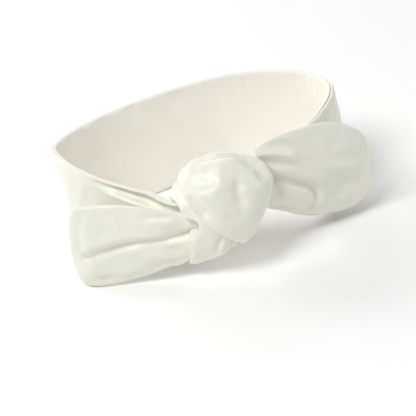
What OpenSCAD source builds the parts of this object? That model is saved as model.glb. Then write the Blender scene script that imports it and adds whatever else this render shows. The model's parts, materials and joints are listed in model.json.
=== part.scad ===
// Knotted headband: a flat two-ply cloth tube set in a ring that stands on its edge,
// tied once at the front, with two short rounded tails.
// X runs to the right, the knot is on the -Y side, Z is up, and the band stands on Z = 0.
// All sizes are in millimetres.

/* [Ring] */
// Height of the band, which is the finished width of the cloth tube
band_h = 72; // [56:1:90]
// Reach of the ring's centre line to the left of the origin
ring_left = 100.5; // [80:0.5:125]
// Reach of the ring's centre line to the right of the origin
ring_right = 91; // [72:0.5:115]
// Depth of the ring from its widest line to the back
ring_back = 57; // [45:1:75]
// Depth of the ring from its widest line to the front
ring_front = 78; // [62:1:96]
// How far the gathered rim drops at the knot, on the left
rim_drop_left = 20; // [8:1:26]
// How far the gathered rim drops at the knot, on the right
rim_drop_right = 6; // [2:1:12]
// Height of the gathered leg where it enters the knot
leg_h = 34; // [26:1:42]
// Thickness of the gathered leg where it enters the knot
leg_t = 9; // [6:0.5:12]

/* [Cloth] */
// Thickness of one satin or lining ply with its fused backing
ply_t = 0.8; // [0.5:0.05:1.2]
// Thickness of the soft interlining between the plies
interlining_t = 1.6; // [1:0.1:2.4]
// Width of the turned edge in which the plies are sewn together
seam_w = 3; // [2:0.1:4]
// Air left between two layers of cloth
layer_gap = 0.1; // [0.05:0.01:0.2]

/* [Knot] */
// Width of the knot from side to side
knot_w = 70; // [56:1:84]
// Depth of the knot from front to back
knot_d = 48; // [40:1:58]
// Height of the knot
knot_h = 72; // [58:1:86]
// Thickness of the leg that wraps over the knot, as it bulges
over_wrap_t = 6; // [4:0.5:8]
// Thickness of the leg that passes under it
under_wrap_t = 6; // [4:0.5:8]
// Lean of the crease between the two legs, from the vertical
crease_lean = 37; // [20:1:50]

/* [Tails] */
// Length of the left tail from its pivot to its tip
left_tail_len = 75; // [60:1:90]
// Width of the left tail
left_tail_w = 58; // [46:1:70]
// Length of the right tail from its pivot to its tip
right_tail_len = 71; // [57:1:86]
// Width of the right tail
right_tail_w = 69; // [56:1:82]
// Thickness of a tail at its middle, where it is loosely puffed
tail_puff = 7; // [5:0.5:10]
// Radius of the gathered neck on which a tail moves
neck_r = 8; // [6.5:0.5:9.5]
// Free space round a gathered neck
neck_gap = 0.4; // [0.3:0.05:0.6]

/* [Stitches] */
// Number of ladder stitches that close the turning gap
stitch_count = 14; // [8:1:20]
// Spacing of the ladder stitches
stitch_pitch = 4; // [3:0.25:5]
// Thickness of the sewing thread
thread_d = 0.5; // [0.4:0.05:0.8]

/* [Hidden] */

// Layers of the band: the whole cloth tube is band_t thick
band_t = 2 * ply_t + interlining_t + 2 * layer_gap;
core_half_t = interlining_t / 2;

// The ring's widest line, and the middle of its back, which is a little right of the knot
wide_y = 24;
back_x = 15;
// Roundness of each quarter of the ring: 2 is an ellipse, and less is more pointed
round_back_left = 1.6;
round_back_right = 2;
round_front = 1.8;

// The knot lies across the front of the ring, with its middle a little outside the ring's line
knot_x = 2;
knot_ahead = 5;
knot_y = wide_y - ring_front - knot_ahead;
knot_low = 6;
knot_z = knot_low + knot_h / 2;
knot_half = [knot_w / 2, knot_d / 2, knot_h / 2];

// The band is full height down to these shares of the way from the ring's side to the knot's middle,
// and gathered from there in
gather_share_left = 0.97;
gather_share_right = 0.92;
gather_from_left = gather_share_left * (ring_left + knot_x);
gather_from_right = gather_share_right * (ring_right - knot_x);
// The band's own layers end outside the knot, and its gathered legs run on from there into the knot
leg_outside = 12;
leg_inside = 6;
leg_from = knot_w / 2 + leg_outside;
leg_to = knot_w / 2 - leg_inside;
// How far behind the knot's middle a leg ends, and how much its end still leans to its own side
leg_behind = 11;
leg_lean = 0.2;
leg_steps = 8;
leg_top_left = band_h - rim_drop_left;
leg_top_right = band_h - rim_drop_right;

// Shares of an angle from the front at which the legs begin
function front_angle(reach, half) = acos(pow(reach / half, round_front / 2));
leg_angle_left = 180 + front_angle(leg_from, ring_left + knot_x);
leg_angle_right = -front_angle(leg_from, ring_right - knot_x);
ring_steps = 74;

// How far the under leg stays inside the knot's outline, and how far the crease lies off the knot's middle
under_sink = 1.5;
crease_shift = 2;
// Facets round the knot and round its sockets
knot_fn = 48;

// Tail pivots: on the knot's left front, at the height at which the tail just clears the floor,
// and on its right side
floor_gap = 0.3;
left_pivot = [knot_x - knot_w / 2 + 1.5, knot_y - 7, left_tail_w / 2 + floor_gap];
right_pivot = [knot_x + knot_w / 2 + 0.4, knot_y + 8, knot_z + 2];
left_yaw = 166;
left_pitch = 0;
right_yaw = 18;
right_pitch = 8;
tail_steps = 22;
tail_points = 9;
// The tail's own layers start this far from the pivot
tail_from = neck_r + neck_gap;
tail_edge_t = band_t;
root_half = 9;
// A tail's round end is this share of its width long, and this is its roundness: 2 is an ellipse
tip_share = 0.34;
tip_roundness = 2.4;
// A tail spreads to its full width over this share of its length, and swells and thins over these
spread_share = 0.42;
swell_share = 0.3;
// Half width that is left at the very tip
tip_half = 0.3;

// A turned edge is flat up to this far from its fold, and this much of its thickness is left at the fold
edge_flat = 0.8;
edge_round = 0.7;
// Places round half a leg's section, as shares of its half thickness and its height
leg_corner = 0.6;
leg_round = 0.12;

// Ladder stitches: their length, how far they reach below the join, and the air under them
stitch_len = 2.8;
stitch_below = 1.4;
stitch_gap = 0.02;

// ---------- shared functions ----------

function signed_pow(v, p) = sign(v) * pow(abs(v), p);
function mix(a, b, t) = a + (b - a) * t;
function clamp01(t) = min(1, max(0, t));
function unit(v) = v / norm(v);

// Point of the ring's centre line at angle a: 90 is the back, 270 or -90 the front
function ring_point(a) =
    let (
        at_back = sin(a) > 0,
        at_right = cos(a) > 0,
        middle = at_back ? back_x : knot_x,
        half = at_right ? ring_right - middle : ring_left + middle,
        deep = at_back ? ring_back : ring_front,
        n = at_back ? (at_right ? round_back_right : round_back_left) : round_front
    )
    [middle + half * signed_pow(cos(a), 2 / n), wide_y + deep * signed_pow(sin(a), 2 / n)];

// Outward normal of the ring at angle a
function ring_normal(a) =
    let (t = unit(ring_point(a + 2) - ring_point(a - 2)))
    [t[1], -t[0]];

// Share of the gathering, 0 on the full band and 1 at the knot
function gathered(a) =
    sin(a) >= 0 ? 0 :
    let (
        away = abs(ring_point(a)[0] - knot_x),
        from = cos(a) < 0 ? gather_from_left : gather_from_right
    )
    clamp01((from - away) / (from - leg_to));

function rim_top(a) = band_h - gathered(a) * (cos(a) < 0 ? rim_drop_left : rim_drop_right);
function rim_low(a) =
    let (g = gathered(a), end = (cos(a) < 0 ? leg_top_left : leg_top_right) - leg_h)
    end * g * g;

function ring_angle(i) = mix(leg_angle_left, leg_angle_right, i / ring_steps);

// One corner of the band: out is the distance outside the centre line
function band_corner(a, out, z) = let (p = ring_point(a) + out * ring_normal(a)) [p[0], p[1], z];

// ---------- shared shapes ----------

// A closed solid through rings of points, which all have the same number of points
module loft(rings) {
    n = len(rings[0]);
    m = len(rings);
    polyhedron(
        points = [for (r = rings) each r],
        faces = [
            [for (j = [0 : n - 1]) j],
            [for (j = [0 : n - 1]) m * n - 1 - j],
            for (i = [0 : m - 2], j = [0 : n - 1])
                let (k = (j + 1) % n)
                each [
                    [i * n + j, (i + 1) * n + j, (i + 1) * n + k],
                    [i * n + j, (i + 1) * n + k, i * n + k]
                ]
        ],
        convexity = 8
    );
}

// A layer of the band between two distances from its centre line
module band_layer(inside, outside) {
    loft([
        for (i = [0 : ring_steps])
            let (a = ring_angle(i), low = rim_low(a) + seam_w, top = rim_top(a) - seam_w)
            [
                band_corner(a, outside, low), band_corner(a, inside, low),
                band_corner(a, inside, top), band_corner(a, outside, top)
            ]
    ]);
}

// The turned edge that closes the band's layers, with its rounded side at tip and flat side at root
module band_edge(is_top) {
    half = band_t / 2;
    loft([
        for (i = [0 : ring_steps])
            let (
                a = ring_angle(i),
                tip = is_top ? rim_top(a) : rim_low(a),
                way = is_top ? 1 : -1,
                root = tip - way * (seam_w - layer_gap),
                ring = [
                    band_corner(a, half, root), band_corner(a, -half, root),
                    band_corner(a, -half, tip - way * edge_flat), band_corner(a, -half * edge_round, tip),
                    band_corner(a, half * edge_round, tip), band_corner(a, half, tip - way * edge_flat)
                ]
            )
            is_top ? ring : [for (j = [5 : -1 : 0]) ring[j]]
    ]);
}

// A leg of the band, gathered from the flat tube into a bundle that enters the knot
module leg(a, top, side) {
    start = ring_point(a);
    out = ring_normal(a);
    end = [knot_x + side * leg_to, knot_y + leg_behind];
    c1 = leg_corner;
    r1 = leg_round;
    difference() {
        loft([
            for (i = [0 : leg_steps])
                let (
                    t = i / leg_steps,
                    c = mix(start, end, t),
                    half = mix(band_t / 2, leg_t / 2, t),
                    low = mix(rim_low(a), top - leg_h, t),
                    high = mix(rim_top(a), top, t),
                    n = unit(mix(out, [side * leg_lean, -1], t)),
                    ring = [
                        for (q = [
                            [-c1, 0], [-1, r1], [-1, 1 - r1], [-c1, 1],
                            [c1, 1], [1, 1 - r1], [1, r1], [c1, 0]
                        ])
                            [c[0] + n[0] * q[0] * half, c[1] + n[1] * q[0] * half, mix(low, high, q[1])]
                    ]
                )
                side > 0 ? ring : [for (j = [7 : -1 : 0]) ring[j]]
        ]);
        knot_body(layer_gap);
        socket(side < 0 ? left_pivot : right_pivot);
    }
}

// The knot's egg-shaped volume, grown by a margin all round
module knot_body(margin) {
    translate([knot_x, knot_y, knot_z])
        scale([knot_half[0] + margin, knot_half[1] + margin, knot_half[2] + margin])
            sphere(r = 1, $fn = knot_fn);
}

// One side of the crease plane, moved by shift towards the upper right
module crease_side(shift, upper) {
    reach = 2 * (knot_w + knot_h);
    translate([knot_x, knot_y, knot_z])
        rotate([0, -crease_lean, 0])
            translate([upper ? shift : shift - reach, -reach / 2, -reach / 2])
                cube([reach, reach, reach]);
}

// The round hollow in which a tail's gathered neck turns
module socket(pivot) {
    translate(pivot) sphere(r = neck_r + neck_gap, $fn = knot_fn);
}

module sockets() {
    socket(left_pivot);
    socket(right_pivot);
}

// ---------- tails ----------

// Half width of a tail at distance u from its pivot, for the outline that lies inset from the edge
function tail_half(u, len, w, inset) =
    let (
        end_len = w * tip_share,
        from_tip = clamp01((len - inset - u) / (end_len - inset)),
        tip_round = pow(1 - pow(1 - from_tip, tip_roundness), 1 / tip_roundness),
        spread = clamp01((u - tail_from) / (len * spread_share)),
        body = mix(root_half, w / 2, sin(90 * spread)) - inset
    )
    max(tip_half, body * tip_round);

// Half thickness of the layers between the plies at distance u from the pivot and share v of the half width
function tail_core(u, v, len) =
    let (
        along = clamp01((u - tail_from) / (len * swell_share)) * clamp01((len - u) / (len * swell_share)),
        swell = (tail_puff - tail_edge_t) / 2 * sin(90 * along)
    )
    core_half_t + swell * (1 - v * v);

function tail_u(i, len, inset) =
    let (t = i / tail_steps) mix(tail_from + 0.2, len - inset, sin(90 * pow(t, 0.9)));

// Places a tail's own frame: u away from the knot, v up, w to the front
module tail_frame(pivot, yaw, pitch) {
    translate(pivot) rotate([0, 0, yaw]) rotate([0, pitch, 0]) rotate([90, 0, 0]) children();
}

// A closed layer of a tail between two surfaces, given as sign and distance outside the interlining
module tail_layer(len, w, low_sign, low_off, high_sign, high_off) {
    inset = seam_w;
    n = tail_points - 1;
    loft([
        for (i = [0 : tail_steps])
            let (u = tail_u(i, len, inset), half = tail_half(u, len, w, inset))
            concat(
                [for (j = [0 : n])
                    let (v = 2 * j / n - 1) [u, v * half, low_sign * tail_core(u, v, len) + low_off]],
                [for (j = [n : -1 : 0])
                    let (v = 2 * j / n - 1) [u, v * half, high_sign * tail_core(u, v, len) + high_off]]
            )
    ]);
}

// The turned edge round a tail, from the lower side of its root round the tip to the upper side
module tail_edge(len, w) {
    half = tail_edge_t / 2;
    steps = 2 * tail_steps;
    loft([
        for (i = [0 : steps])
            let (
                lower = i <= tail_steps,
                k = lower ? i : steps - i,
                side = lower ? -1 : 1,
                uo = tail_u(k, len, 0),
                ui = tail_u(k, len, seam_w - layer_gap),
                outer = side * (k == tail_steps ? 0 : tail_half(uo, len, w, 0)),
                inner = side * (k == tail_steps ? 0 : tail_half(ui, len, w, seam_w - layer_gap))
            )
            [
                [ui, inner, -half], [ui, inner, half],
                [mix(ui, uo, 0.8), mix(inner, outer, 0.8), half], [uo, outer, half * 0.5],
                [uo, outer, -half * 0.5], [mix(ui, uo, 0.8), mix(inner, outer, 0.8), -half]
            ]
    ]);
}

// ---------- parts ----------

module band_outer_ply() {
    color("ivory") band_layer(core_half_t + layer_gap, core_half_t + layer_gap + ply_t);
}

module band_inner_ply() {
    color("linen") band_layer(-core_half_t - layer_gap - ply_t, -core_half_t - layer_gap);
}

module band_interlining() {
    color("white") band_layer(-core_half_t, core_half_t);
}

module band_top_seam() {
    color("ivory") band_edge(true);
}

module band_bottom_seam() {
    color("ivory") band_edge(false);
}

// Short bars of thread over the join of the outer ply and the bottom edge, at the back
module turning_gap_stitches() {
    color("white")
        for (i = [0 : stitch_count - 1]) {
            a = 90 + (i - (stitch_count - 1) / 2) * stitch_pitch / ring_right * 180 / PI;
            p = band_corner(a, band_t / 2 + thread_d / 2 + stitch_gap, seam_w - stitch_below);
            translate(p) cylinder(h = stitch_len, d = thread_d, $fn = 24);
        }
}

module left_leg_gather() {
    color("ivory") leg(leg_angle_left, leg_top_left, -1);
}

module right_leg_gather() {
    color("ivory") leg(leg_angle_right, leg_top_right, 1);
}

module knot_core() {
    color("ivory") difference() {
        knot_body(-over_wrap_t - under_wrap_t - 2 * layer_gap);
        sockets();
    }
}

// The leg that goes under: it lies against the core, and comes out to the knot's surface below the crease
module knot_under_wrap() {
    color("ivory") difference() {
        union() {
            knot_body(-over_wrap_t - layer_gap);
            intersection() {
                knot_body(-under_sink);
                crease_side(-crease_shift - layer_gap, false);
            }
        }
        knot_body(-over_wrap_t - under_wrap_t - layer_gap);
        sockets();
    }
}

// The leg that goes over: it covers the knot above the crease
module knot_over_wrap() {
    color("ivory") intersection() {
        difference() {
            knot_body(0);
            knot_body(-over_wrap_t);
            sockets();
        }
        crease_side(-crease_shift, true);
    }
}

module tail_neck(pivot) {
    color("ivory") translate(pivot) sphere(r = neck_r, $fn = knot_fn);
}

module left_tail_neck() {
    tail_neck(left_pivot);
}

module right_tail_neck() {
    tail_neck(right_pivot);
}

module front_ply(len, w) {
    color("ivory") tail_layer(len, w, 1, layer_gap, 1, layer_gap + ply_t);
}

module back_ply(len, w) {
    color("linen") tail_layer(len, w, -1, -layer_gap - ply_t, -1, -layer_gap);
}

module pad(len, w) {
    color("white") tail_layer(len, w, -1, 0, 1, 0);
}

// The left tail is turned half round by its yaw, so its front is on the other side of its own frame
module left_tail_front_ply() {
    tail_frame(left_pivot, left_yaw, left_pitch) back_ply(left_tail_len, left_tail_w);
}

module left_tail_back_ply() {
    tail_frame(left_pivot, left_yaw, left_pitch) front_ply(left_tail_len, left_tail_w);
}

module left_tail_interlining() {
    tail_frame(left_pivot, left_yaw, left_pitch) pad(left_tail_len, left_tail_w);
}

module left_tail_edge_seam() {
    color("ivory") tail_frame(left_pivot, left_yaw, left_pitch) tail_edge(left_tail_len, left_tail_w);
}

module right_tail_front_ply() {
    tail_frame(right_pivot, right_yaw, right_pitch) front_ply(right_tail_len, right_tail_w);
}

module right_tail_back_ply() {
    tail_frame(right_pivot, right_yaw, right_pitch) back_ply(right_tail_len, right_tail_w);
}

module right_tail_interlining() {
    tail_frame(right_pivot, right_yaw, right_pitch) pad(right_tail_len, right_tail_w);
}

module right_tail_edge_seam() {
    color("ivory") tail_frame(right_pivot, right_yaw, right_pitch) tail_edge(right_tail_len, right_tail_w);
}

band_outer_ply();
band_inner_ply();
band_interlining();
band_top_seam();
band_bottom_seam();
turning_gap_stitches();
left_leg_gather();
right_leg_gather();
knot_core();
knot_under_wrap();
knot_over_wrap();
left_tail_neck();
left_tail_front_ply();
left_tail_back_ply();
left_tail_interlining();
left_tail_edge_seam();
right_tail_neck();
right_tail_front_ply();
right_tail_back_ply();
right_tail_interlining();
right_tail_edge_seam();
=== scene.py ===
import json
import math

import bmesh
import bpy
import numpy as np
from mathutils import Matrix, Vector, noise
from mathutils.bvhtree import BVHTree


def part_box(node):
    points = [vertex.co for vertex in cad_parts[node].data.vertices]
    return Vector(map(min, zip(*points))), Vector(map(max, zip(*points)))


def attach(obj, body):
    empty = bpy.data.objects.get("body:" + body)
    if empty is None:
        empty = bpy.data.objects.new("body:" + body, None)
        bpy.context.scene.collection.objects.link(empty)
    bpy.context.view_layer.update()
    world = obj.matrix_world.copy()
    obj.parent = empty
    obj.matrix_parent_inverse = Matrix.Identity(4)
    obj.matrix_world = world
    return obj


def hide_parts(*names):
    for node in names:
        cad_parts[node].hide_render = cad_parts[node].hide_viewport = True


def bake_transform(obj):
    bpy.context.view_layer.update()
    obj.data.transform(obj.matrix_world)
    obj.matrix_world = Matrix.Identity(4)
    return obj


# Knotted headband in ivory satin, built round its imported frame. Lengths are in millimetres until a
# piece is finished, and in metres from then on.

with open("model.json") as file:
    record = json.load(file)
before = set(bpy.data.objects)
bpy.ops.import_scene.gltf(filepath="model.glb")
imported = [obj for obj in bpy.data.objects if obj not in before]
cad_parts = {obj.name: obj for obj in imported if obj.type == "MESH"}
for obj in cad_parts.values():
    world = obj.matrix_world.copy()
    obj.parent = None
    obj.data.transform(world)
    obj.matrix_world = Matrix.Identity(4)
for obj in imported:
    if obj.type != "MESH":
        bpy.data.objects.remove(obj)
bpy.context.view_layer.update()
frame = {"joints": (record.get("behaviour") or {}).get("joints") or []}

MM = 0.001


# ---------- sizes, from the frame ----------

def node_box(name):
    """Lowest and highest corners of a node of the frame, in millimetres."""
    low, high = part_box(name)
    return np.array(low) / MM, np.array(high) / MM


def joint_point(name):
    """Point of a joint of the frame, in millimetres."""
    joint = next(j for j in frame["joints"] if j["name"] == name)
    return np.array(joint["pos_m"]) / MM


def tail_heading(name):
    """Heading of a tail round the upright, in degrees, square to the axis of the joint that lifts it."""
    axis = next(j for j in frame["joints"] if j["name"] == name)["axis"]
    return round(math.degrees(math.atan2(axis[1], axis[0])) + 90, 1)


ring_low, ring_high = node_box("band_outer_ply")
core_low, core_high = node_box("knot_core")
knot_corner = node_box("knot_over_wrap")[1]
left_pivot = joint_point("left_tail_swing")
right_pivot = joint_point("right_tail_swing")

BAND_TOP = node_box("band_top_seam")[1][2]
# Half the thickness of the band, from the ring's line to the outside of the cloth
BAND_HALF = 1.7
RING_LEFT = -ring_low[0] - BAND_HALF
RING_RIGHT = ring_high[0] - BAND_HALF
# The ring is widest this far back, and the middle of its back is this far to the right
WIDE_Y = 24.0
BACK_X = 15.0
RING_BACK = ring_high[1] - BAND_HALF - WIDE_Y
# The knot's middle and its half sizes, to a tenth of a millimetre
KNOT = np.round((core_low + core_high) / 2, 1)
KNOT_HALF = np.round(knot_corner - KNOT, 1)
# The knot's middle lies this far outside the ring's front
KNOT_AHEAD = 5.0
RING_FRONT = WIDE_Y - KNOT[1] - KNOT_AHEAD
# Where the band runs into the knot, its rim has come down by this much, and it has gathered to this height
RIM_DROP_LEFT = 20.0
RIM_DROP_RIGHT = 6.0
LEG_HEIGHT = 34.0
# The band is full height down to these shares of the way from its side to the knot's middle, and it is
# fully gathered this far from the knot's middle
FULL_SHARE_LEFT = 0.97
FULL_SHARE_RIGHT = 0.92
GATHERED_AT = 29.0
# The band's cloth when it lies flat, and the thickness of one ply
CLOTH_LENGTH = 520
CLOTH_WIDTH = 72
PLY = 0.4


# ---------- cloth helpers ----------

def smooth(low, high, x):
    """0 below low and 1 above high, and a smooth step between them."""
    t = np.clip((x - low) / (high - low), 0, 1)
    return t * t * (3 - 2 * t)


def mix(a, b, t):
    return a + (b - a) * t


def away(points, line):
    """Distance of each point from a chain of straight stretches, and its place along the chain, 0 to 1."""
    line = np.array(line, float)
    steps = np.linalg.norm(np.diff(line, axis=0), axis=1)
    reached = np.concatenate([[0], np.cumsum(steps)])
    best = np.full(len(points), np.inf)
    place = np.zeros(len(points))
    for i, step in enumerate(steps):
        d = line[i + 1] - line[i]
        t = np.clip(((points - line[i]) @ d) / (d @ d), 0, 1)
        far = np.linalg.norm(points - line[i] - t[:, None] * d, axis=1)
        nearer = far < best
        best = np.where(nearer, far, best)
        place = np.where(nearer, (reached[i] + t * step) / reached[-1], place)
    return best, place


def rounded(line, passes=2):
    """A chain of points with its corners cut, so that a fold bends smoothly."""
    line = np.array(line, float)
    for _ in range(passes):
        inner = [mix(a, b, t) for a, b in zip(line[:-1], line[1:]) for t in (0.25, 0.75)]
        line = np.array([line[0], *inner[1:-1], line[-1]])
    return line


def fold(points, line, width, height, start=1.0, end=1.0):
    """Height of a soft ridge, or with a negative height a valley, along a line. start and end are the
    share of its height that it has at its two ends."""
    far, place = away(points, rounded(line))
    along = mix(start, 1, smooth(0, 0.35, place)) * mix(end, 1, smooth(0, 0.35, 1 - place))
    return height * along * np.exp(-((far / width) ** 2))


def waves(points, size, seed=0.0):
    """Soft uneven waves from -1 to 1, of about that size in each direction."""
    size = np.broadcast_to(np.array(size, float), (3,))
    return np.array([noise.noise(Vector(p / size) + Vector((seed, 2 * seed, -seed))) for p in points])


def crumple(points, size, seed):
    """Small soft-edged creases with flatter cloth between them, from about -0.4 to 0.3."""
    return 0.3 - np.sqrt(waves(points, size, seed) ** 2 + 0.004)


def finish_piece(name, bm, material):
    """Makes an object of a bmesh whose points are in millimetres, with smooth faces that point outwards."""
    bmesh.ops.transform(bm, matrix=Matrix.Scale(MM, 4), verts=bm.verts)
    bmesh.ops.recalc_face_normals(bm, faces=bm.faces)
    for face in bm.faces:
        face.smooth = True
    mesh = bpy.data.meshes.new(name)
    bm.to_mesh(mesh)
    bm.free()
    piece = bpy.data.objects.new(name, mesh)
    bpy.context.scene.collection.objects.link(piece)
    piece.data.materials.append(material)
    return piece


def place_points(bm, points):
    for vert, point in zip(bm.verts, points):
        vert.co = point


def cloth_grid(along, across):
    """A flat grid of cloth, and how far along and across it each of its points is, from 0 to 1."""
    bm = bmesh.new()
    bm.loops.layers.uv.new("cloth")
    bmesh.ops.create_grid(bm, x_segments=along, y_segments=across, size=0.5, calc_uvs=True)
    flat = np.array([v.co for v in bm.verts]) + 0.5
    return bm, flat[:, 0], flat[:, 1]


def add_thickness(piece, thickness):
    """Gives a sheet its cloth's thickness, on the inner side."""
    solidify = piece.modifiers.new("cloth thickness", "SOLIDIFY")
    solidify.thickness = thickness * MM
    solidify.offset = -1


# ---------- materials ----------

def linear(hex_colour):
    """An sRGB hex colour as the linear colour that a shader takes."""
    channels = [int(hex_colour[i:i + 2], 16) / 255 for i in (1, 3, 5)]
    return [c / 12.92 if c <= 0.04045 else ((c + 0.055) / 1.055) ** 2.4 for c in channels] + [1.0]


def add_node(tree, kind, settings=None, values=None, links=None):
    """Adds a shader node, sets its properties and its sockets, and links other nodes' sockets to it."""
    node = tree.nodes.new(kind)
    for name, value in (settings or {}).items():
        setattr(node, name, value)
    for name, value in (values or {}).items():
        node.inputs[name].default_value = value
    for name, socket in (links or {}).items():
        tree.links.new(socket, node.inputs[name])
    return node


def woven_cloth(name, colour, shade, roughness, sheen, thread_mm, thread_depth, slub_depth):
    """Woven cloth: fine crossing threads, small uneven slubs and a slight drift of colour."""
    material = bpy.data.materials.new(name)
    material.use_nodes = True
    tree = material.node_tree
    tree.nodes.clear()
    place = add_node(tree, "ShaderNodeTexCoord").outputs["Object"]
    # a wave repeats every 6.28 of its units, so this gives one wave a thread
    waves_per_metre = 1 / (thread_mm * MM) / 6.28
    warp = add_node(tree, "ShaderNodeTexWave", {"wave_type": "BANDS", "bands_direction": "Z"},
                    {"Scale": waves_per_metre, "Distortion": 0.4, "Detail": 1.0}, {"Vector": place})
    weft = add_node(tree, "ShaderNodeTexWave", {"wave_type": "BANDS", "bands_direction": "X"},
                    {"Scale": waves_per_metre, "Distortion": 0.4, "Detail": 1.0}, {"Vector": place})
    weave = add_node(tree, "ShaderNodeMath", {"operation": "MULTIPLY"})
    tree.links.new(warp.outputs["Fac"], weave.inputs[0])
    tree.links.new(weft.outputs["Fac"], weave.inputs[1])
    slub_size = 4 * MM
    slubs = add_node(tree, "ShaderNodeTexNoise", {},
                     {"Scale": 1 / slub_size, "Detail": 3.0, "Roughness": 0.55}, {"Vector": place})
    threads = add_node(tree, "ShaderNodeBump", {}, {"Strength": 1.0, "Distance": thread_depth * MM},
                       {"Height": weave.outputs["Value"]})
    surface = add_node(tree, "ShaderNodeBump", {}, {"Strength": 1.0, "Distance": slub_depth * MM},
                       {"Height": slubs.outputs["Fac"], "Normal": threads.outputs["Normal"]})
    patch_size = 35 * MM
    patches = add_node(tree, "ShaderNodeTexNoise", {}, {"Scale": 1 / patch_size, "Detail": 2.0},
                       {"Vector": place})
    tone = add_node(tree, "ShaderNodeMix", {"data_type": "RGBA"}, {}, {"Factor": patches.outputs["Fac"]})
    tone.inputs["A"].default_value = linear(shade)
    tone.inputs["B"].default_value = linear(colour)
    shader = add_node(tree, "ShaderNodeBsdfPrincipled", {},
                      {"Roughness": roughness, "IOR": 1.5, "Sheen Weight": sheen, "Sheen Roughness": 0.35,
                       "Sheen Tint": linear("#FFFFFF")},
                      {"Base Color": tone.outputs["Result"], "Normal": surface.outputs["Normal"]})
    add_node(tree, "ShaderNodeOutputMaterial", {}, {}, {"Surface": shader.outputs["BSDF"]})
    return material


# Polyester satin with a soft, broad sheen: long smooth floats, so hardly any weave shows
ivory_satin = woven_cloth("ivory polyester satin", "#EDEDE2", "#E8E9DC", 0.37, 0.25, 0.5, 0.004, 0.02)
# Plain-woven lining, matte and a little yellower than the satin
cream_lining = woven_cloth("cream plain-woven lining", "#F8F5ED", "#F4F1E7", 0.85, 0.1, 0.7, 0.012, 0.02)
# Spun polyester sewing thread
ivory_thread = woven_cloth("ivory spun polyester thread", "#F7F5EC", "#EFEDE2", 0.6, 0.3, 0.25, 0.01, 0.01)


# ---------- camera, floor and light ----------

def make_camera():
    data = bpy.data.cameras.new("camera")
    data.sensor_width = 36
    data.lens = 130
    data.clip_end = 10
    camera = bpy.data.objects.new("camera", data)
    bpy.context.scene.collection.objects.link(camera)
    stand = Vector((-5, -907.3, 486.2)) * MM
    looks_at = Vector((-7.6, -30, 28.7)) * MM
    tilt = Matrix.Rotation(math.radians(-12.8), 4, "Z")
    aim = (looks_at - stand).to_track_quat("-Z", "Y").to_matrix().to_4x4()
    camera.matrix_world = Matrix.Translation(stand) @ aim @ tilt
    bpy.context.scene.camera = camera


def make_floor():
    bm = bmesh.new()
    bmesh.ops.create_grid(bm, x_segments=1, y_segments=1, size=3)
    mesh = bpy.data.meshes.new("floor")
    bm.to_mesh(mesh)
    bm.free()
    floor = bpy.data.objects.new("floor", mesh)
    bpy.context.scene.collection.objects.link(floor)
    # uncoated white paper, so it has no gloss
    material = bpy.data.materials.new("matte white paper")
    material.use_nodes = True
    shader = material.node_tree.nodes["Principled BSDF"]
    shader.inputs["Base Color"].default_value = linear("#F6F6F6")
    shader.inputs["Roughness"].default_value = 0.9
    floor.data.materials.append(material)


def make_lamp(name, place, size, power, colour="#FFFFFF"):
    data = bpy.data.lights.new(name, "AREA")
    data.shape = "DISK"
    data.size = size
    data.energy = power
    data.color = linear(colour)[:3]
    lamp = bpy.data.objects.new(name, data)
    lamp.location = place
    lamp.rotation_euler = (-Vector(place)).to_track_quat("-Z", "Y").to_euler()
    bpy.context.scene.collection.objects.link(lamp)


def make_light():
    world = bpy.data.worlds.new("studio")
    world.use_nodes = True
    world.node_tree.nodes["Background"].inputs["Color"].default_value = linear("#FFFFFF")
    world.node_tree.nodes["Background"].inputs["Strength"].default_value = 0.29
    bpy.context.scene.world = world
    make_lamp("key softbox", (-0.63, -0.63, 1.33), 0.8, 16)
    make_lamp("left back softbox", (-1.15, 0.86, 0.75), 0.7, 8)
    make_lamp("right fill", (1.46, 0, 0.66), 0.8, 5.5)
    make_lamp("back fill", (0, 1.37, 0.82), 0.8, 5.5)
    bpy.context.scene.view_settings.view_transform = "Standard"


make_camera()
make_floor()
make_light()


# ---------- band ----------

# Roundness of each part of the ring: 2 is an ellipse, and less is more pointed
ROUND_BACK_RIGHT = 2.0
ROUND_BACK_LEFT = 1.66
ROUND_FRONT = 1.8


def power_of(v, p):
    return np.sign(v) * np.abs(v) ** p


def ring_line(angle):
    """Points of the ring's centre line: pi/2 is the back and -pi/2 the front."""
    c, s = np.cos(angle), np.sin(angle)
    back, right = s > 0, c > 0
    middle = np.where(back, BACK_X, KNOT[0])
    half = np.where(right, RING_RIGHT - middle, RING_LEFT + middle)
    deep = np.where(back, RING_BACK, RING_FRONT)
    round_by = np.where(back, np.where(right, ROUND_BACK_RIGHT, ROUND_BACK_LEFT), ROUND_FRONT)
    x = middle + half * power_of(c, 2 / round_by)
    y = WIDE_Y + deep * power_of(s, 2 / round_by)
    return x, y


def front_angle(reach, half):
    """How far from straight right, or left, the ring's front has come in to reach from the knot."""
    return math.acos((reach / half) ** (ROUND_FRONT / 2))


# How far from the knot's middle the legs end, inside the knot
LEG_REACH_LEFT = 24.0
LEG_REACH_RIGHT = 11.0
ANGLE_LEFT = math.pi + front_angle(LEG_REACH_LEFT, RING_LEFT + KNOT[0])
ANGLE_RIGHT = -front_angle(LEG_REACH_RIGHT, RING_RIGHT - KNOT[0])
# The left leg runs this far in front of the ring's line into the knot, and the right leg's lower edge
# rises this far inside it
LEFT_LEG_AHEAD = 7.0
RIGHT_LEG_UP = 9.0
# Each edge rolls over into its seam, over this share of the band's width and up to this height
ROLL_SHARE = 0.06
ROLL_HEIGHT = 1.7
# Half the air between the two plies at a seam, and the air under the band
SEAM_AIR = 0.06
FLOOR_AIR = 0.3


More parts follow.
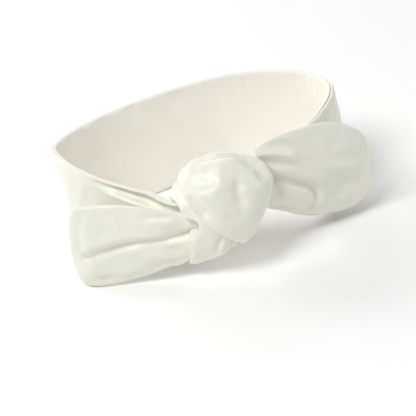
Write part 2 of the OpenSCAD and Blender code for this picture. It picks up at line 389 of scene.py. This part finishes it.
def band_ply(name, side, material):
    """One ply of the band, from the bottom seam to the top seam. side is 1 for the outer ply and -1 for
    the inner one. Its two edges roll over into the seams."""
    steps, rows = 520, 64
    bm, along, across = cloth_grid(steps, rows)
    order = np.linspace(0, 1, steps + 1)
    angle = mix(ANGLE_LEFT, ANGLE_RIGHT, order)
    x, y = ring_line(angle)
    left = np.cos(angle) < 0
    from_knot = np.abs(x - KNOT[0])
    full_left = FULL_SHARE_LEFT * (RING_LEFT + KNOT[0])
    full_right = FULL_SHARE_RIGHT * (RING_RIGHT - KNOT[0])
    full_at = np.where(left, full_left, full_right)
    gather = np.where(np.sin(angle) < 0, np.clip((full_at - from_knot) / (full_at - GATHERED_AT), 0, 1), 0)
    y = y - np.where(left, LEFT_LEG_AHEAD, 0) * smooth(0.75, 1, gather)
    tangent = np.stack([np.gradient(x), np.gradient(y)], axis=1)
    tangent /= np.linalg.norm(tangent, axis=1)[:, None]
    normal = np.stack([-tangent[:, 1], tangent[:, 0]], axis=1)

    i = np.rint(along * steps).astype(int)
    x, y, left, gather, angle, normal = x[i], y[i], left[i], gather[i], angle[i], normal[i]
    drop = np.where(left, RIM_DROP_LEFT, RIM_DROP_RIGHT)
    top = BAND_TOP - gather * drop
    low = (BAND_TOP - drop - LEG_HEIGHT) * gather ** 2 + FLOOR_AIR
    # inside the knot the right leg's lower edge is drawn up
    right_leg = ~left & (np.sin(angle) < 0)
    low = low + np.where(right_leg, RIGHT_LEG_UP, 0) * smooth(34, 24, from_knot[i])

    # the cloth is loosest, and its plies furthest apart, at the right front
    open_seam = 1.1 * np.exp(-((angle + 0.35) / 0.35) ** 2)
    half = BAND_HALF - 0.1 + open_seam + np.where(left, 2.2, 0.6) * smooth(0.7, 1, gather)
    roll = np.clip((ROLL_SHARE - across) / ROLL_SHARE, 0, 1), np.clip((across - 1) / ROLL_SHARE + 1, 0, 1)
    last_turn = math.pi * (0.62 + 0.2 * open_seam)
    turn = (roll[0] + roll[1]) * last_turn
    between = np.clip((across - ROLL_SHARE) / (1 - 2 * ROLL_SHARE), 0, 1)
    height = mix(low + ROLL_HEIGHT, top - ROLL_HEIGHT, between)
    height = height + ROLL_HEIGHT * np.sin(turn) * np.where(roll[1] > 0, 1, -1)
    out = half * (np.cos(turn) - np.cos(last_turn)) / (1 - np.cos(last_turn)) + SEAM_AIR

    middle = np.sin(math.pi * between)
    down = top - height
    bump = 0.5 * middle ** 0.6
    flat = np.stack([along * CLOTH_LENGTH, across * CLOTH_WIDTH, 0 * along], axis=1)
    bump += 1.3 * middle ** 0.5 * waves(flat, (38, 26, 20), 3.0 + side)
    bump += 0.6 * middle ** 0.5 * waves(flat + [[0.6, 0, 0]] * flat[:, 1:2], (11, 44, 20), 7.0 + side)
    bump += 0.9 * middle ** 0.5 * crumple(flat, (34, 26, 20), 45.0 + side)
    bump += 0.4 * middle ** 0.5 * crumple(flat, (14, 16, 20), 47.0)
    wrinkle = waves(flat, (7, 26, 20), 11.0 + side)
    near_rim = np.exp(-((down / 16) ** 2))
    bump += 0.7 * wrinkle * near_rim * (turn == 0) * smooth(0.02, 0.2, across)
    # lengthwise pleats run together into the knot
    pleats = np.sin(2 * math.pi * (3.4 * across + 0.9 * np.sin(3 * across) + 0.25 * side))
    bump += pleats * gather ** 2.5 * middle ** 0.5
    # a ridge runs along the left front below the rim, with a dent above it and another below it
    ridge = 3 + 10 * gather
    on_left = left * smooth(0.15, 0.6, gather)
    dent = on_left * 4.0 * np.exp(-(((down - 0.55 * ridge) / (1.5 + 0.22 * ridge)) ** 2))
    dent *= smooth(0, 3, down)
    dent += on_left * 3.0 * smooth(ridge, ridge + 18, down)
    if side > 0:
        bump += on_left * 2.2 * np.exp(-(((down - ridge) / 2.2) ** 2)) - dent
    else:
        bump += 0.85 * dent
    # small puckers along both seams
    from_edge = np.minimum(down, height - low)
    bump += 0.3 * waves(flat, (5, 9, 20), 21.0 + side) * np.exp(-(((from_edge - 4) / 3) ** 2))
    # the back sags inwards a little towards the floor
    sag = 4.0 * np.exp(-(((angle - 2.2) / 0.5) ** 2)) * smooth(45, 0, height)
    out = out + bump - side * sag
    points = np.stack([x + side * out * normal[:, 0], y + side * out * normal[:, 1], height], axis=1)
    place_points(bm, points)
    piece = finish_piece(name, bm, material)
    add_thickness(piece, PLY)
    return piece


band_outer = band_ply("band_outer_ply_cloth", 1, ivory_satin)
band_inner = band_ply("band_inner_ply_cloth", -1, cream_lining)


# ---------- stitches that close the turning gap ----------

def turning_stitches(count=14, pitch=4.0, length=2.8, thread=0.5):
    """Short bars of thread that close the gap the band was turned through, low on its outer ply at the
    back. They are laid on the cloth where a line from outside meets it."""
    far = 20
    height = 2.6
    surface = BVHTree.FromObject(band_outer, bpy.context.evaluated_depsgraph_get())
    bm = bmesh.new()
    for i in range(count):
        turn = math.pi / 2 + (i - (count - 1) / 2) * pitch / RING_RIGHT
        x, y = (float(v) for v in ring_line(turn))
        outside = Vector((x + far * math.cos(turn), y + far * math.sin(turn), height))
        inward = Vector((-math.cos(turn), -math.sin(turn), 0))
        hit, normal, _, _ = surface.ray_cast(outside * MM, inward)
        bar = bmesh.ops.create_icosphere(bm, subdivisions=3, radius=thread / 2)["verts"]
        bmesh.ops.scale(bm, vec=(1, 1, length / thread), verts=bar)
        lean = Matrix.Rotation(math.radians(14), 3, normal)
        upright = Vector((0, 0, 1)) - normal * normal.z
        turned = lean @ upright.to_track_quat("Z", "Y").to_matrix()
        bmesh.ops.rotate(bm, matrix=turned, verts=bar)
        bmesh.ops.translate(bm, vec=hit / MM + normal * thread * 0.15, verts=bar)
    return finish_piece("turning_gap_ladder_stitches", bm, ivory_thread)


stitches = turning_stitches()


# ---------- knot ----------

def knot_ball():
    """A fine ball of unit radius, and the directions of its points."""
    bm = bmesh.new()
    bmesh.ops.create_icosphere(bm, subdivisions=7, radius=1)
    return bm, np.array([v.co for v in bm.verts])


def lump(aim, centre, width, height):
    """A swelling, or with a negative height a hollow, about one direction from the knot's middle."""
    centre = np.array(centre, float)
    centre /= np.linalg.norm(centre)
    return height * np.exp(-(1 - aim @ centre) / (1 - math.cos(math.radians(width))))


# Direction across the crease, towards the leg that wraps over, and how far the crease is off the middle
ACROSS_CREASE = np.array([0.696, -0.297, 0.654])
CREASE_AT = 0.042
# Direction of the knot's flat lower right, and how far it is from the middle
FLAT_SIDE = np.array([0.523, 0.265, -0.809])
FLAT_AT = 0.30
FLAT_SOFT = 0.05


def knot_shape(aim):
    """The knot's lumpy outline, as a share of its half sizes, and how far each direction is past the
    crease."""
    radius = 1 + lump(aim, (0.84, -0.25, -0.52), 30, -0.25)
    radius += lump(aim, (-0.75, -0.24, -0.62), 18, 0.24)
    radius += lump(aim, (0.74, 0.18, 0.64), 24, 0.14)
    radius += lump(aim, (-0.4, 0.28, 0.87), 14, 0.07)
    radius += 0.02 * waves(aim, 0.55, 2.0)
    # the lower right is drawn in flat, with a soft edge
    flat = FLAT_AT / np.maximum(aim @ FLAT_SIDE, 0.05)
    radius = -FLAT_SOFT * np.log(np.exp(-radius / FLAT_SOFT) + np.exp(-flat / FLAT_SOFT))
    past = aim @ ACROSS_CREASE - CREASE_AT
    past = past + 0.03 * waves(aim, 0.7, 6.0) + 0.3 * smooth(0.3, 0.95, aim[:, 0])
    return radius, past


def on_knot(directions):
    """Places on the knot's plain ball, in millimetres from its middle, for directions in half sizes."""
    return np.array(directions) * KNOT_HALF


def knot_piece(name, shape):
    """One leg of the knot as a closed lumpy ball. shape gives its radius as a share, and its folds in
    millimetres."""
    bm, aim = knot_ball()
    radius, folds = shape(aim)
    points = aim * KNOT_HALF
    normal = aim / KNOT_HALF
    normal /= np.linalg.norm(normal, axis=1)[:, None]
    place_points(bm, KNOT + points * radius[:, None] + normal * folds[:, None])
    return finish_piece(name, bm, ivory_satin)


# Depth of the hollow that the left tail comes out of
MOUTH_DEPTH = 8


def mouth(at):
    """How much of the left tail's mouth, 0 to 1, lies at each place on the knot's plain ball."""
    tall = away(at, [(-34, -5, 3), (-33, -4, -15)])[0] - 12
    deep = away(at, [(-33, -6, -5), (-25, -17, -1.5)])[0] - 6
    return smooth(2.2, -2.2, np.minimum(tall, deep))


# Folds of each leg of the knot: a line as directions from the knot's middle, half width and height in
# millimetres, and the share of its height at its start and at its end
OVER_FOLDS = [
    # valley down the front
    ([(0.38, -0.55, 0.74), (0.31, -0.80, 0.51), (0.33, -0.87, 0.36), (0.31, -0.94, 0.13)],
     4.0, -2.8, 0.4, 0.2),
    # broad valley down the right shoulder
    ([(0.50, 0.22, 0.84), (0.67, -0.04, 0.74), (0.79, -0.15, 0.59), (0.87, -0.30, 0.37)],
     7.5, -4.2, 0.6, 0.2),
    # ridge across the upper front
    ([(0.10, -0.45, 0.88), (0.02, -0.76, 0.64), (-0.25, -0.80, 0.54)], 4.5, 1.9, 0.3, 0.2),
    # valley behind the rolled edge
    ([(-0.58, -0.52, 0.62), (-0.47, -0.76, 0.44), (-0.34, -0.90, 0.26), (-0.18, -0.97, 0.14)],
     3.0, -3.4, 0.3, 0.2),
    # pleats over the top, two ridges and two valleys
    ([(-0.30, 0.12, 0.95), (0.1, 0.05, 0.99), (0.5, 0.05, 0.86)], 2.2, 1.3, 0.2, 0.8),
    ([(-0.28, -0.02, 0.96), (0.1, -0.12, 0.99), (0.5, -0.08, 0.86)], 1.8, -1.0, 0.2, 0.8),
    ([(-0.2, 0.35, 0.92), (0.2, 0.33, 0.92), (0.6, 0.3, 0.75)], 2.2, 1.2, 0.2, 0.8),
    ([(-0.25, 0.22, 0.95), (0.2, 0.20, 0.96), (0.6, 0.18, 0.8)], 1.6, -1.0, 0.2, 0.8),
    # valley and ridge down the back
    ([(0.30, 0.86, 0.40), (0.10, 0.95, 0.05), (0.05, 0.85, -0.50)], 4.0, -2.0, 0.3, 0.3),
    ([(0.62, 0.70, 0.30), (0.50, 0.80, -0.10), (0.35, 0.80, -0.45)], 4.0, 1.6, 0.3, 0.3),
]
UNDER_FOLDS = [
    # pinched pleats low on the right
    ([(0.10, -0.88, -0.40), (0.0, -0.85, -0.52), (-0.1, -0.7, -0.7)], 1.8, -2.0, 0.8, 0.2),
    ([(0.2, -0.85, -0.42), (0.12, -0.85, -0.5), (0.05, -0.75, -0.65)], 1.5, 1.2, 0.8, 0.2),
    ([(-0.07, -0.93, -0.35), (-0.15, -0.88, -0.45), (-0.2, -0.75, -0.6)], 1.4, 0.6, 0.6, 0.2),
    ([(-0.16, -0.93, -0.33), (-0.26, -0.86, -0.43), (-0.3, -0.75, -0.58)], 1.6, -1.4, 0.6, 0.2),
    # ridge beside the crease
    ([(-0.80, -0.40, 0.35), (-0.70, -0.60, 0.20), (-0.60, -0.75, 0.0)], 3.5, 1.2, 0.3, 0.3),
]


def over_shape(aim):
    """The leg that wraps over: full past the crease, with a rolled edge along it."""
    radius, past = knot_shape(aim)
    at = aim * KNOT_HALF
    started = smooth(0.76, 0.56, aim[:, 2])
    roll = np.sqrt(1 - (1 - np.clip(past / 0.24, 0, 1)) ** 2)
    radius = radius + 0.075 * roll * started * np.exp(-((past / 0.8) ** 2))
    # past its edge the wrap dives under the other leg
    radius = radius - 0.34 * smooth(-0.045, 0.065, -past)
    folds = 0.5 * waves(at, (16, 16, 16), 4.0)
    folds = folds + 1.6 * crumple(at, (17, 17, 17), 31.0) + 0.7 * crumple(at, (8, 8, 8), 33.0)
    for line, width, height, start, end in OVER_FOLDS:
        folds = folds + fold(at, on_knot(line), width, height, start, end)
    return radius, folds


def under_shape(aim):
    """The leg that passes under: a step down at the crease, and smaller inside the other leg."""
    radius, past = knot_shape(aim)
    at = aim * KNOT_HALF
    started = smooth(0.76, 0.56, aim[:, 2])
    radius = radius - 0.12 * started * np.exp(-((np.minimum(past, 0) / 0.2) ** 2))
    radius = radius - 0.16 * smooth(-0.03, 0.2, past)
    folds = 0.5 * waves(at, (14, 14, 14), 9.0) - MOUTH_DEPTH * mouth(at)
    folds = folds + 1.4 * crumple(at, (14, 14, 14), 35.0) + 0.7 * crumple(at, (7, 7, 7), 37.0)
    for line, width, height, start, end in UNDER_FOLDS:
        folds = folds + fold(at, on_knot(line), width, height, start, end)
    return radius, folds


knot_over = knot_piece("knot_over_wrap_cloth", over_shape)
knot_under = knot_piece("knot_under_wrap_cloth", under_shape)


# ---------- tails ----------

def tail_frame(yaw, pitch):
    """Directions of a tail: away from the knot, up, and to the front."""
    yaw, pitch = math.radians(yaw), math.radians(pitch)
    out = np.array([math.cos(yaw) * math.cos(pitch), math.sin(yaw) * math.cos(pitch), -math.sin(pitch)])
    up = np.array([math.cos(yaw) * math.sin(pitch), math.sin(yaw) * math.sin(pitch), math.cos(pitch)])
    front = np.cross(up, out)
    if front[1] > 0:
        front = -front
    return out, up, front


# Half a tail's thickness at its seam, and how far from its rim the seam is round
SEAM_HALF = 1.5
SEAM_ROUND = 1.6
# A tail's end bows out in its middle, and its cloth curls back near the end
END_BOW = 3.0
END_CURL = 5.5


def tail_cloth(name, pivot, yaw, pitch, root, tip, corner, low_line, top_line, folds, tuck):
    """A two-ply tail as one closed pad. root is how far along it begins, tip how far its lower and upper
    corners reach, and corner how far those are rounded off. low_line and top_line are its lower and upper
    edges as points (along, up), and folds the ridges and valleys of its front. tuck moves the top of its
    root back."""
    steps, rows = 130, 90
    thick = 6.5
    out, up, front = tail_frame(yaw, pitch)
    bm = bmesh.new()
    bm.loops.layers.uv.new("cloth")
    sides = []
    for face in (1, -1):
        made = bmesh.ops.create_grid(bm, x_segments=steps, y_segments=rows, size=0.5, calc_uvs=True)
        sides += [(v, face) for v in made["verts"]]
    flat = np.array([v.co for v, _ in sides])[:, :2] + 0.5
    face = np.array([f for _, f in sides])
    s, t = flat[:, 0], flat[:, 1]

    # outline
    edge = np.abs(2 * t - 1)
    end_low, end_top = tip
    end = mix(end_low, end_top, t) + END_BOW * (1 - edge ** 2)
    end = end - corner * (1 - (1 - edge ** 3.2) ** (1 / 3.2)) ** 1.2
    along = root + (end - root) * s
    low = np.interp(along, *zip(*rounded(low_line, 3)))
    top = np.interp(along, *zip(*rounded(top_line, 3)))
    height = mix(low, top, t)
    rim = np.minimum(np.minimum(t, 1 - t) * (top - low), np.minimum(s, 1 - s) * (end - root))

    # thickness, round at the seam and full in the middle
    half = SEAM_HALF * np.sqrt(np.clip(1 - (1 - np.clip(rim / SEAM_ROUND, 0, 1)) ** 2, 0, 1))
    half += (thick / 2 - SEAM_HALF) * smooth(0, 14, rim) * smooth(-12, 12, along)

    # folds of the front, which show more faintly at the back
    on_front = np.stack([along, height], axis=1)
    bump = np.zeros(len(s))
    for line, width, deep, start, stop in folds:
        bump += fold(on_front, line, width, deep, start, stop)
    bump *= smooth(0, 5, rim)
    lean = -1.5 * ((height - (low + top) / 2) / 30) ** 2
    spots = np.stack([along, height, 0 * along + 9 * face], axis=1)
    ripple = 0.9 * waves(spots, (26, 16, 30), 5) + 0.35 * waves(spots, (9, 9, 30), 8)
    ripple += 1.4 * crumple(spots, (24, 15, 30), 41) + 0.6 * crumple(spots, (11, 9, 30), 43)
    # small puckers along the seam, and pleats that fan out of the knot
    pucker = 0.4 * waves(spots, (4.5, 4.5, 30), 12) * np.exp(-((rim - 3.0) / 2.2) ** 2) * smooth(0, 2, rim)
    fan = 2 * math.pi * (4.5 * t + 0.8 * waves(spots / 30, (1, 1, 1), 3))
    pleats = 0.9 * np.sin(fan) * smooth(30, 4, along) * smooth(-8, 6, along) * smooth(0, 5, rim)

    w = face * (half + ripple * smooth(0, 4, rim) + pucker) + lean
    w = w + (bump + pleats) * np.where(face > 0, 1, 0.6)
    w = w - tuck * smooth(8, -10, along) * smooth(12, 24, height)
    w = w - END_CURL * np.clip((along - (end_low + end_top) / 2 + 15) / 17, 0, 1.2) ** 2
    points = pivot + along[:, None] * out + height[:, None] * up + w[:, None] * front
    for (vert, _), point in zip(sides, points):
        vert.co = point
    bmesh.ops.remove_doubles(bm, verts=bm.verts, dist=0.01)
    return finish_piece(name, bm, ivory_satin)


LEFT_YAW = tail_heading("left_tail_lift")
RIGHT_YAW = tail_heading("right_tail_lift")
# How far each tail hangs down from level, in degrees
LEFT_PITCH = 0
RIGHT_PITCH = 8

left_tail = tail_cloth(
    "left_tail_cloth", left_pivot, LEFT_YAW, LEFT_PITCH, -17, (74, 66), 9,
    [(-20, -8), (-8, -13), (0, -18), (8, -18.5), (20, -22.5), (31, -25), (43, -27.6), (60, -28.6),
     (80, -28.6)],
    [(-20, 12), (-12, 17), (-3, 21), (7, 23.5), (25, 28.5), (45, 31), (60, 31), (80, 30)],
    [
        # crease from the knot to the end
        ([(-12, 5), (1.5, 2.8), (21, 3.6), (41, 0.7), (52, -1.8), (62, -6)], 2.9, -3.2, 1.2, 0.6),
        # swell above it
        ([(4, 10), (22, 11), (42, 8.5), (56, 5)], 4.5, 0.9, 0.5, 0.4),
        # valley inside the end's seam, and a dimple low down
        ([(57, 26), (63, 14), (65, -2), (62, -6)], 3.0, -1.4, 0.6, 1.0),
        ([(57, -21.5), (49, -21.7)], 2.5, -1.6, 0.6, 0.6),
    ],
    0)
right_tail = tail_cloth(
    "right_tail_cloth", right_pivot, RIGHT_YAW, RIGHT_PITCH, -12, (70.5, 68.5), 20,
    [(-20, -8), (-4, -15), (8, -20), (18, -24.8), (28, -28), (39, -29.6), (50, -29.5), (62, -27), (80, -24)],
    [(-20, 22), (-6, 32.5), (7, 35), (21, 36), (35, 36.4), (44, 35.5), (54, 31), (64, 25), (80, 20)],
    [
        # deep valley that leaves the knot and turns down, and the swell above it
        ([(-6, 10), (-1, 8.3), (9, 3.3), (19, -1.8), (26, -4.8), (29, -10.4), (28, -17), (24.5, -21)],
         3.0, -3.8, 1.2, 0.4),
        ([(6, 10), (17, 5), (27, 1.5), (36, -6), (36, -14)], 4.5, 1.6, 0.4, 0.3),
        # soft ridge towards the end
        ([(30, 8), (51, 3), (62, -1)], 5.0, 1.6, 0.3, 0.4),
        # ridge from the knot's top, and the hollow under it
        ([(-14, 25.5), (0, 24), (7, 21.5), (18, 14)], 2.4, 3.0, 1.0, 0.2),
        ([(-8, 17.5), (2, 17), (10, 13)], 2.6, -0.8, 1.0, 0.2),
        # soft hollow low down
        ([(40, -9), (53, -8)], 6.0, -1.2, 0.5, 0.5),
    ],
    2)


# ---------- body, baked tails, and the frame's parts hidden ---

for piece in (band_outer, band_inner, stitches, knot_over, knot_under):
    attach(piece, "headband")
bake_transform(left_tail)
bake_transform(right_tail)
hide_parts("band_outer_ply", "band_top_seam", "band_bottom_seam", "left_leg_gather",
            "right_leg_gather")
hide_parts("band_inner_ply", "band_interlining")
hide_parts("knot_over_wrap")
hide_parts("knot_under_wrap", "knot_core")
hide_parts("left_tail_neck", "left_tail_front_ply", "left_tail_back_ply",
            "left_tail_interlining", "left_tail_edge_seam")
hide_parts("right_tail_neck", "right_tail_front_ply", "right_tail_back_ply",
            "right_tail_interlining", "right_tail_edge_seam")
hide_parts("turning_gap_stitches")
